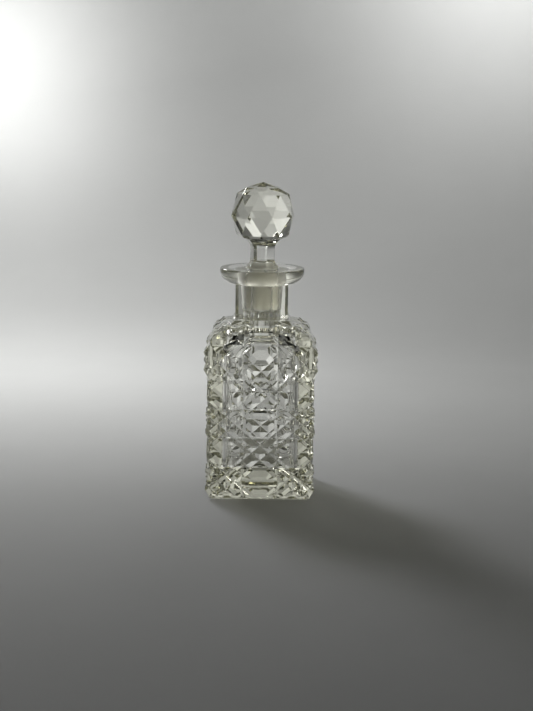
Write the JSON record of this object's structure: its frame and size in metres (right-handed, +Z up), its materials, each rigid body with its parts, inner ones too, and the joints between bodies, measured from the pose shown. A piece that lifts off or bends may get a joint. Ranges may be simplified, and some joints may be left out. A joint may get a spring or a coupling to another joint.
{
  "type": "perfume bottle",
  "caption": "Square clear cut-glass perfume bottle with diamond and button cut faces, panelled neck, flared lip and a lift-out ground stopper with a faceted ball.",
  "frame": {"origin": "centre of the base, on the surface that the bottle stands on", "axes": "+Z up through the neck and the stopper; the four cut faces look along -Y, +X, +Y and -X"},
  "size_m": [0.056, 0.056, 0.1543],
  "materials": {
    "bottle_glass": "polished clear cut crystal, ground inside the neck",
    "stopper_glass": "polished clear facets, frosted ground plug"
  },
  "bodies": {
    "bottle": {"bottle": "bottle_glass"},
    "stopper": {"stopper": "stopper_glass"}
  },
  "joints": [
    {"name": "stopper_lift", "type": "slide", "parent": "bottle", "child": "stopper", "axis": [0, 0, 1], "range_m": [0, 0.04]}
  ]
}
